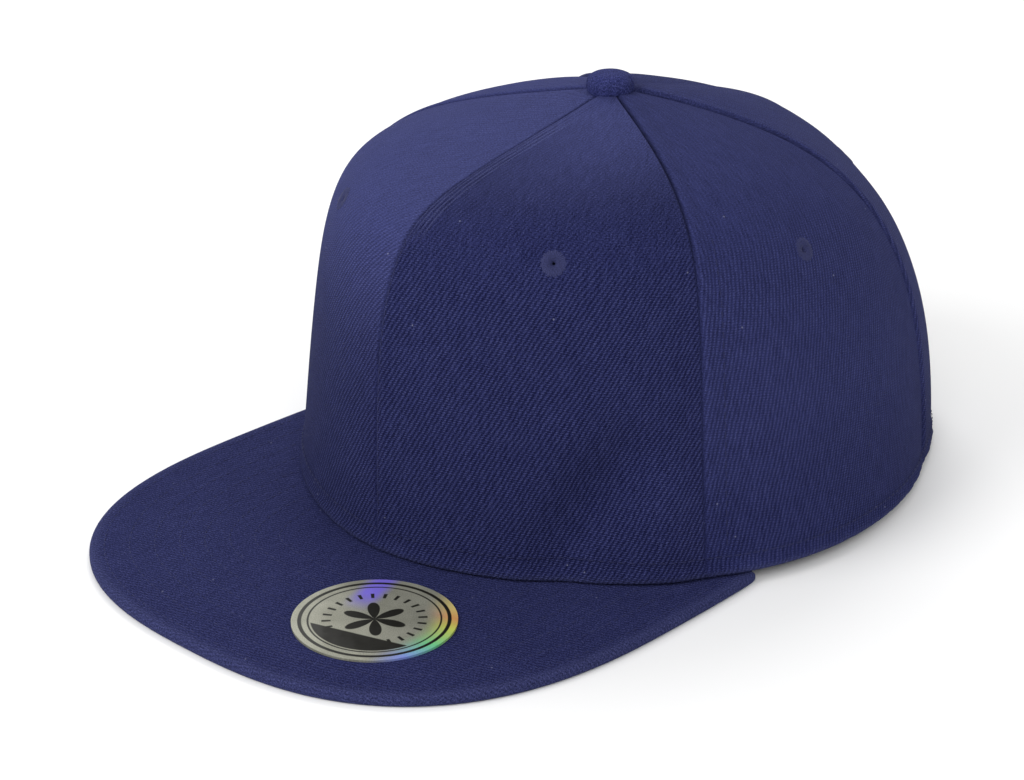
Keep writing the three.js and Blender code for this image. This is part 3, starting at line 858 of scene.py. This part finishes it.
def brim_outline(count=400):
    """The brim's rim, from its right corner round the front to its left one, evenly spaced."""
    row, oval, out_x, out_y = section(np.array([0.0, BRIM_CORNER_AT]))
    foot = oval * row["foot"]
    front = -foot[0]
    corner = np.array([out_x[1], out_y[1]]) * foot[1]
    widest = front + BRIM_WIDEST
    half = BRIM_HIGH.x
    turn = np.linspace(0, math.pi / 2, 600)
    x = half * np.sin(turn) ** (2 / BRIM_FRONT_POWER)
    y = widest - (widest - front + BRIM_LENGTH) * np.cos(turn) ** (2 / BRIM_FRONT_POWER)
    back = np.linspace(0, 1, 200)[1:]
    side_x = corner[0] + (half - corner[0]) * (1 - back**BRIM_SIDE_POWER) ** (1 / BRIM_SIDE_POWER)
    side_y = widest + (corner[1] - widest) * back
    left = np.stack([np.concatenate([x, side_x]), np.concatenate([y, side_y])], -1)
    whole = np.concatenate([left[::-1] * (-1, 1), left[1:]])
    run = run_length(whole[None], 1)[0]
    even = np.linspace(0, run[-1], count)
    return np.stack([np.interp(even, run, whole[:, 0]), np.interp(even, run, whole[:, 1]) + AXIS_Y], -1)


def inward_normals(line):
    ahead = np.gradient(line, axis=0)
    ahead /= np.linalg.norm(ahead, axis=1)[:, None]
    return np.stack([-ahead[:, 1], ahead[:, 0]], -1)


def brim():
    """The visor board under its cloth: a flat top and underside, and a rounded rim."""
    outline = brim_outline()
    inward = inward_normals(outline)
    count = len(outline)
    share = np.linspace(-1, 1, count)
    row, oval, out_x, out_y = section(BRIM_CORNER_AT * share)
    reach = oval * row["foot"] - BRIM_TUCK
    inner = np.stack([out_x * reach, AXIS_Y + out_y * reach], -1)
    half = BRIM_TOP / 2
    rolled = [
        (BRIM_ROUNDING * (1 - math.cos(a)), half - BRIM_ROUNDING + BRIM_ROUNDING * math.sin(a))
        for a in np.linspace(0, math.pi / 2, 7)
    ]
    cuts = (0, 0.01, 0.025, 0.045, 0.07, *np.linspace(0.1, 1, 38))
    start = outline + inward * BRIM_ROUNDING
    grid = []
    for height_sign in (-1, 1):
        rim = rolled if height_sign > 0 else rolled[::-1]
        flat_part = [(start + (inner - start) * cut, half * height_sign) for cut in cuts]
        rim_part = [(outline + inward * depth, height * height_sign) for depth, height in rim]
        if height_sign < 0:
            parts = flat_part[::-1] + rim_part[1:]
        else:
            parts = rim_part + flat_part[1:]
        for points, height in parts:
            grid.append(np.concatenate([points, np.full((count, 1), half + height)], 1))
    grid = np.stack(grid, 1)
    rows = grid.shape[1]
    far = np.stack([
        np.linalg.norm(grid[:, j, None, :2] - outline[None, ::2], axis=-1).min(1)
        for j in range(rows)
    ], 1)
    faces = grid_faces(count, rows)
    back_edge = np.array([[i * rows, i * rows + rows - 1] for i in range(count)])
    closing = np.stack([back_edge[:-1, 0], back_edge[:-1, 1], back_edge[1:, 1], back_edge[1:, 0]], -1)
    vertices = grid.reshape(-1, 3)
    top_start = rows - len(cuts)
    reached = run_length(grid[:, top_start::-1], 1)[:, ::-1]
    unrolled = grid[:, top_start, None, :2] - inward[:, None] * reached[..., None]
    flat = np.concatenate([unrolled, grid[:, top_start + 1:, :2]], 1)
    flat = np.concatenate([flat, 0 * grid[..., :1]], -1).reshape(-1, 3)
    # Paler band along the rim: partly rubbed cloth, partly a painted sheen on the rounded rim
    worn_and_highlit = (0.75 * bell(far, 0.8 * MM, 1.8 * MM)).ravel()
    caps = [tuple(range(rows - 1, -1, -1)), tuple((count - 1) * rows + j for j in range(rows))]
    piece = mesh_object(
        "brim_cloth", vertices, [*faces, *closing, *caps], BRIM_TWILL,
        {"cloth": flat, "wear_and_highlight": worn_and_highlit, "nap": np.full(len(vertices), 0.8)},
    )
    return place_piece(piece, "cloth", "brim")


def brim_stitches():
    """Rows of stitching that follow the rim, on the top and the underside."""
    outline = brim_outline(900)
    inward = inward_normals(outline)
    lines = []
    for k in range(ROW_COUNT):
        away = ROW_STEP * (k + 0.6)
        row_line = outline + inward * away
        nearest = np.linalg.norm(row_line[:, None] - outline[None, ::3], axis=-1).min(1)
        x = row_line[:, 0]
        y = row_line[:, 1] - AXIS_Y
        side = np.degrees(np.arctan2(x / (CROWN_WIDTH / 2), -y / CROWN_FRONT))
        row, oval, _, _ = section(side)
        clear = np.hypot(x, y) > oval * row["foot"] + 1.5 * MM
        keep = (nearest > away - 0.3 * MM) & clear & (np.abs(side) < 85)
        kept = row_line[keep]
        if len(kept) < 20:
            continue
        for height, way in ((BRIM_TOP, 1), (0, -1)):
            points = np.concatenate([kept, np.full((len(kept), 1), height)], 1)
            lines.append((points, np.tile([0, 0, float(way)], (len(kept), 1))))
    piece = stitch_rows(
        "brim_stitch_rows", lines, BRIM_THREAD, pitch=2.9 * MM, length=2.1 * MM, radius=0.11 * MM
    )
    return place_piece(piece, "thread")


# Inner band, closing strap and sticker

BAND_HEIGHT = 32 * MM
BAND_THICK = 1.6 * MM
BAND_PAST_ARCH = 9 * MM
BAND_SHORT_DEG = 0.4  # left off each end
STICKER_THICK = 0.3 * MM
STICKER_OFF = 0.02 * MM
STICKER_TURN = -18  # degrees that its design is turned on the brim


def rear_angle(sideways):
    """Degrees round at which the foot of the back lies this far from the middle."""
    at = np.linspace(SEAMS[2], SEAMS[3], 2000)
    row, oval, out_x, _ = section(at)
    return float(np.interp(-sideways, -(oval * row["foot"] * out_x), at))


def radius_at(at, height):
    """Distance of the crown's outside from the axis at this height, for one angle."""
    t = np.linspace(0, 0.7, 300)
    places, _ = crown(at, t)
    return float(np.interp(height, places[:, 2], np.hypot(places[:, 0], places[:, 1] - AXIS_Y)))


def sweatband():
    """The cotton band inside the foot, with a soft pucker along its stitching."""
    end = rear_angle(ARCH_WIDTH / 2 + BAND_PAST_ARCH) - BAND_SHORT_DEG
    at = np.linspace(-end, end, 300)
    rise = np.linspace(0, BAND_HEIGHT, 24)
    outer, inner = [], []
    for angle in at:
        _, _, out_x, out_y = section(angle)
        out_column, in_column = [], []
        for level in rise:
            height = float(foot_height(angle)) + level
            reach = radius_at(angle, height) - WALL - GAP
            pucker = 0.22 * MM * math.sin(angle * 2.3) * math.sin(math.pi * level / BAND_HEIGHT)
            roll = 0.5 * MM * float(bell(level, BAND_HEIGHT, 2 * MM) + bell(level, 0, 2 * MM))
            for column, radius in ((out_column, reach), (in_column, reach - BAND_THICK + pucker + roll)):
                column.append((out_x * radius, AXIS_Y + out_y * radius, height))
        outer.append(out_column)
        inner.append(in_column)
    outer, inner = np.array(outer), np.array(inner)
    vertices, faces = shell(outer, inner)
    run = run_length(inner, 0)
    flat = np.stack([run, np.broadcast_to(rise, run.shape), 0 * run], -1).reshape(-1, 3)
    nothing = np.zeros(len(vertices))
    piece = mesh_object(
        "inner_band", vertices, faces, BAND_TWILL, {"cloth": np.concatenate([flat, flat]), "wear_and_highlight": nothing}
    )
    place_piece(piece, "band", "sweatband")
    lines = []
    for row_index in (2, 21):
        lines.append((inner[:, row_index], -(inner[:, row_index] - (0, AXIS_Y, 0)) * (1, 1, 0)))
    place_piece(stitch_rows("band_stitching", lines, THREAD), "thread")
    return piece


def strap():
    """The plastic closing strap, which is the solid itself with rounded edges."""
    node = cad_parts["snap_strap"]
    node.data.materials.clear()
    node.data.materials.append(PLASTIC)
    bevel = node.modifiers.new("rounded", "BEVEL")
    bevel.width = 0.35 * MM
    bevel.segments = 3
    bevel.limit_method = "ANGLE"
    bevel.angle_limit = math.radians(40)


def sticker():
    """The round foil sticker, slightly wavy, with its printed design."""
    low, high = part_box("visor_sticker")
    radius = (high.x - low.x) / 2
    centre = ((low.x + high.x) / 2, (low.y + high.y) / 2)
    columns = 144
    rings = 24
    turn = 2 * math.pi * np.arange(columns) / columns
    radii = radius * np.linspace(1, 0.002, rings)
    angle, r = np.meshgrid(turn, radii, indexing="ij")
    waves = 0.05 * MM * np.sin(3 * angle + 1) * (r / radius) ** 2
    height = low.z + STICKER_THICK + STICKER_OFF + waves
    grid = np.stack([centre[0] + r * np.cos(angle), centre[1] + r * np.sin(angle), height], -1)
    wall = grid[:, :1] * (1, 1, 0) + (0, 0, BRIM_TOP + STICKER_OFF)
    grid = np.concatenate([wall, grid], 1)
    faces = grid_faces(columns, rings + 1, closed=True)
    vertices = grid.reshape(-1, 3)
    disc = turned((vertices - (*centre, 0)) * (1 / radius, 1 / radius, 0), STICKER_TURN)
    piece = mesh_object("foil_sticker", vertices, faces, FOIL, {"disc": disc})
    return place_piece(piece, "foil", "visor_sticker")


def turned(points, degrees):
    """The points turned back by this much, as seen from above."""
    a = math.radians(degrees)
    return points @ np.array([[math.cos(a), math.sin(a), 0], [-math.sin(a), math.cos(a), 0], [0, 0, 1]])


# Studio

CAMERA_AIM = Vector((1.5, -15.9, 34.5)) * MM
CAMERA_DISTANCE = 737.6 * MM
CAMERA_AZIMUTH = math.radians(43.03)
CAMERA_ELEVATION = math.radians(23.84)
CAMERA_ROLL = math.radians(0.18)
CAMERA_LENS = 92.94
SENSOR_WIDTH = 36
LIGHT_DISTANCE = 1.3
LIGHT_SIZE = 0.9
LIGHT_AIM = Vector((0, 0, 0.05))
WORLD_STRENGTH = 0.55
FLOOR_REACH = 8.0


def camera():
    data = bpy.data.cameras.new("photo_camera")
    data.lens = CAMERA_LENS
    data.sensor_width = SENSOR_WIDTH
    data.clip_start = 0.01
    data.clip_end = 20
    made = bpy.data.objects.new("photo_camera", data)
    flat = math.cos(CAMERA_ELEVATION)
    back = Vector((
        math.sin(CAMERA_AZIMUTH) * flat, -math.cos(CAMERA_AZIMUTH) * flat, math.sin(CAMERA_ELEVATION)
    ))
    right = Vector((math.cos(CAMERA_AZIMUTH), math.sin(CAMERA_AZIMUTH), 0))
    up = back.cross(right)
    rolled_right = math.cos(CAMERA_ROLL) * right + math.sin(CAMERA_ROLL) * up
    rolled_up = back.cross(rolled_right)
    made.matrix_world = Matrix((rolled_right, rolled_up, back)).transposed().to_4x4()
    made.matrix_world.translation = CAMERA_AIM + back * CAMERA_DISTANCE
    bpy.context.scene.collection.objects.link(made)
    bpy.context.scene.camera = made


def soft_light(name, left_of_camera, elevation, power):
    """A round soft light that far to the left of the camera, aimed at the cap."""
    turn = CAMERA_AZIMUTH - math.radians(left_of_camera)
    rise = math.radians(elevation)
    flat = LIGHT_DISTANCE * math.cos(rise)
    up = LIGHT_DISTANCE * math.sin(rise)
    place = LIGHT_AIM + Vector((math.sin(turn) * flat, -math.cos(turn) * flat, up))
    data = bpy.data.lights.new(name, "AREA")
    data.shape = "DISK"
    data.size = LIGHT_SIZE
    data.energy = power
    made = bpy.data.objects.new(name, data)
    made.location = place
    made.rotation_euler = (LIGHT_AIM - place).to_track_quat("-Z", "Y").to_euler()
    bpy.context.scene.collection.objects.link(made)


def studio():
    corners = [(x * FLOOR_REACH, y * FLOOR_REACH, 0) for x, y in ((-1, -1), (1, -1), (1, 1), (-1, 1))]
    floor = mesh_object("floor", corners, [(0, 1, 2, 3)], plain_floor("pale_floor"))
    world = bpy.data.worlds.new("studio")
    world.use_nodes = True
    background = world.node_tree.nodes["Background"]
    background.inputs["Color"].default_value = (1, 1, 1, 1)
    background.inputs["Strength"].default_value = WORLD_STRENGTH
    bpy.context.scene.world = world
    soft_light("front_light", 0, 35, 6.5)
    soft_light("left_light", 60, 35, 9.5)
    soft_light("right_light", -60, 35, 2)
    soft_light("back_light", 180, 45, 8)
    bpy.context.scene.view_settings.view_transform = "Standard"


def build():
    for hand in ("left", "right"):
        for row in PANELS:
            crown_panel(row, hand)
            eyelet(row, hand)
    crown_stitches()
    button()
    brim()
    brim_stitches()
    sweatband()
    strap()
    sticker()


camera()
studio()
build()
